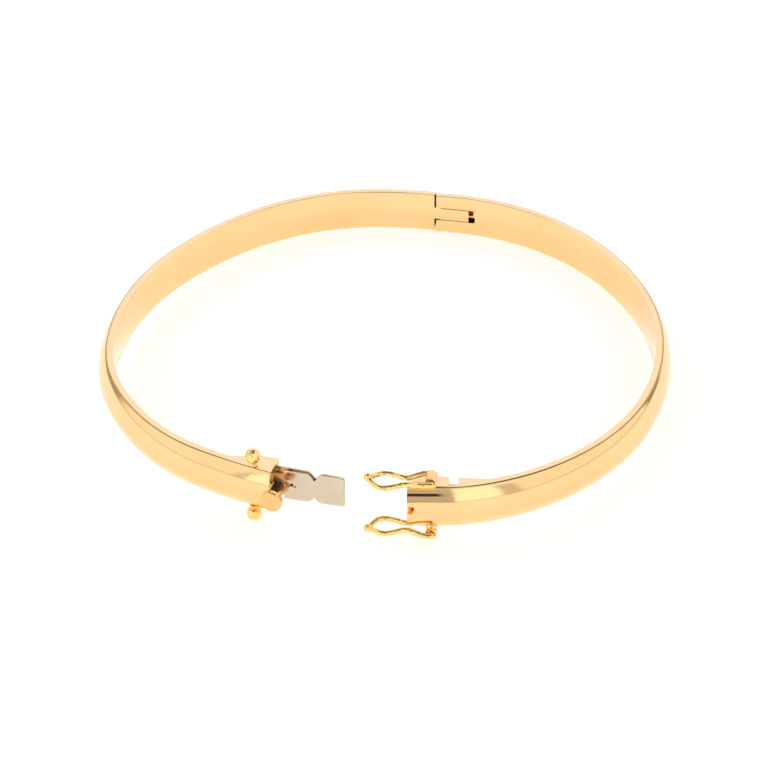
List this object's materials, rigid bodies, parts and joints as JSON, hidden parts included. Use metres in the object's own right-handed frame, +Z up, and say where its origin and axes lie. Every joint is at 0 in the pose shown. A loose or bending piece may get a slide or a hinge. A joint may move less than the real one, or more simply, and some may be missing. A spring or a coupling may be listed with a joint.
{
  "type": "hinged bangle bracelet",
  "caption": "Oval gold hinged bangle, standing open, with a folded tongue clasp, a thumb button and wire safety catches.",
  "frame": {"origin": "middle of the open bangle's outline, on the surface that it lies on", "axes": "+Z up from the surface, +Y from the clasp towards the hinge, +X towards the half with the clasp box. The bangle lies on its side and tips by 1.8 degrees, as its lower stud holds the clasp end up."},
  "size_m": [0.0619, 0.0644, 0.0086],
  "materials": {
    "yellow_gold": "polished yellow gold with fine wear",
    "white_gold": "worn white gold with fine scratches"
  },
  "bodies": {
    "right": {"right_half": "yellow_gold", "hinge_pin": "yellow_gold"},
    "left": {"left_half": "yellow_gold", "tongue": "white_gold", "upper_stud": "yellow_gold", "lower_stud": "yellow_gold"},
    "leaf": {"spring_leaf": "white_gold", "thumb_button": "yellow_gold"},
    "upper_catch": {"upper_catch": "yellow_gold"},
    "lower_catch": {"lower_catch": "yellow_gold"}
  },
  "joints": [
    {"name": "bangle_hinge", "type": "hinge", "parent": "right", "child": "left", "pos_m": [0.00483, 0.03043, 0.00236], "axis": [0.0094, 0.0308, 0.9995], "range_deg": [-22, 12.9]},
    {"name": "spring_leaf_press", "type": "hinge", "parent": "left", "child": "leaf", "pos_m": [-0.00266, -0.02923, 0.00427], "axis": [0.0094, 0.0308, 0.9995], "range_deg": [-4, 0], "stiffness_Nm_per_rad": 0.1},
    {"name": "upper_catch_swing", "type": "hinge", "parent": "right", "child": "upper_catch", "pos_m": [0.00651, -0.03052, 0.00736], "axis": [-0.0001, 0.9995, -0.0308], "range_deg": [0, 110]},
    {"name": "lower_catch_swing", "type": "hinge", "parent": "right", "child": "lower_catch", "pos_m": [0.00645, -0.03071, 0.0011], "axis": [-0.0001, 0.9995, -0.0308], "range_deg": [-110, 0]}
  ]
}
